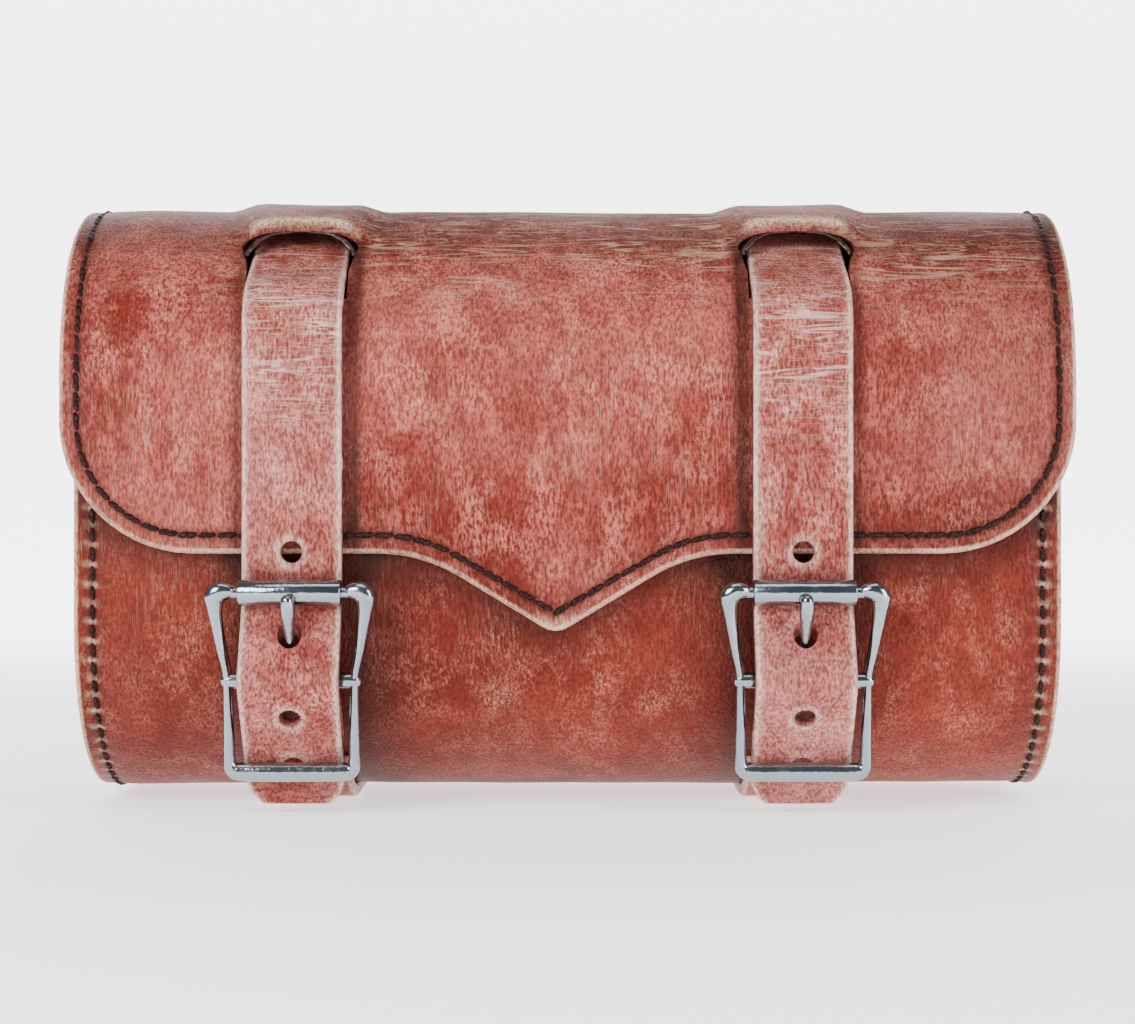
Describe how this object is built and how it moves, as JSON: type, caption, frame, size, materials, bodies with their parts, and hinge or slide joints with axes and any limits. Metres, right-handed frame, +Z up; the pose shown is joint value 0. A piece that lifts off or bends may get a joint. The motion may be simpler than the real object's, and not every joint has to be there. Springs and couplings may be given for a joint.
{
  "type": "motorcycle tail bag",
  "caption": "Leather tail bag with a pointed flap lid hinged at the back and held by two straps with roller buckles.",
  "frame": {"origin": "under the middle of the whole bag's box, on the surface that the two lower straps rest on", "axes": "+Z up, the front with its buckles faces -Y, +X is to the right seen from in front"},
  "size_m": [0.257, 0.1334, 0.1584],
  "materials": {
    "lid_leather": "antiqued, semi-gloss",
    "body_leather": "antiqued, semi-gloss",
    "strap_leather": "worn, satin",
    "lining": "suede, matt",
    "thread": "waxed thread",
    "steel": "polished nickel plate",
    "rivet": "plated steel"
  },
  "bodies": {
    "root": {"body_wrap": "body_leather", "end_panel_left": "body_leather", "end_panel_right": "body_leather", "end_thread_left": "thread", "end_thread_right": "thread", "rear_rivets_left": "rivet", "rear_rivets_right": "rivet", "strap_rear_left": "strap_leather", "strap_rear_right": "strap_leather"},
    "lid": {"buckle_frame_left": "steel", "buckle_frame_right": "steel", "chape_left": "strap_leather", "chape_right": "strap_leather", "chape_rivets_left": "rivet", "chape_rivets_right": "rivet", "lid": "lid_leather", "lid_lining": "lining", "lid_thread": "thread", "strap_left": "strap_leather", "strap_right": "strap_leather"},
    "roller_left": {"buckle_roller_left": "steel"},
    "tongue_left": {"buckle_tongue_left": "steel"},
    "roller_right": {"buckle_roller_right": "steel"},
    "tongue_right": {"buckle_tongue_right": "steel"}
  },
  "joints": [
    {"name": "lid_hinge", "type": "hinge", "parent": "root", "child": "lid", "pos_m": [0, 0.0624, 0.11188], "axis": [-1, 0, 0], "range_deg": [0, 120]},
    {"name": "roller_left_spin", "type": "hinge", "parent": "lid", "child": "roller_left", "pos_m": [-0.069, -0.05995, 0.05688], "axis": [1, 0, 0], "continuous": true},
    {"name": "tongue_left_swing", "type": "hinge", "parent": "lid", "child": "tongue_left", "pos_m": [-0.069, -0.05706, 0.03487], "axis": [1, 0, 0], "range_deg": [0, 4]},
    {"name": "roller_right_spin", "type": "hinge", "parent": "lid", "child": "roller_right", "pos_m": [0.059, -0.05995, 0.05688], "axis": [1, 0, 0], "continuous": true},
    {"name": "tongue_right_swing", "type": "hinge", "parent": "lid", "child": "tongue_right", "pos_m": [0.059, -0.05706, 0.03487], "axis": [1, 0, 0], "range_deg": [0, 4]}
  ]
}
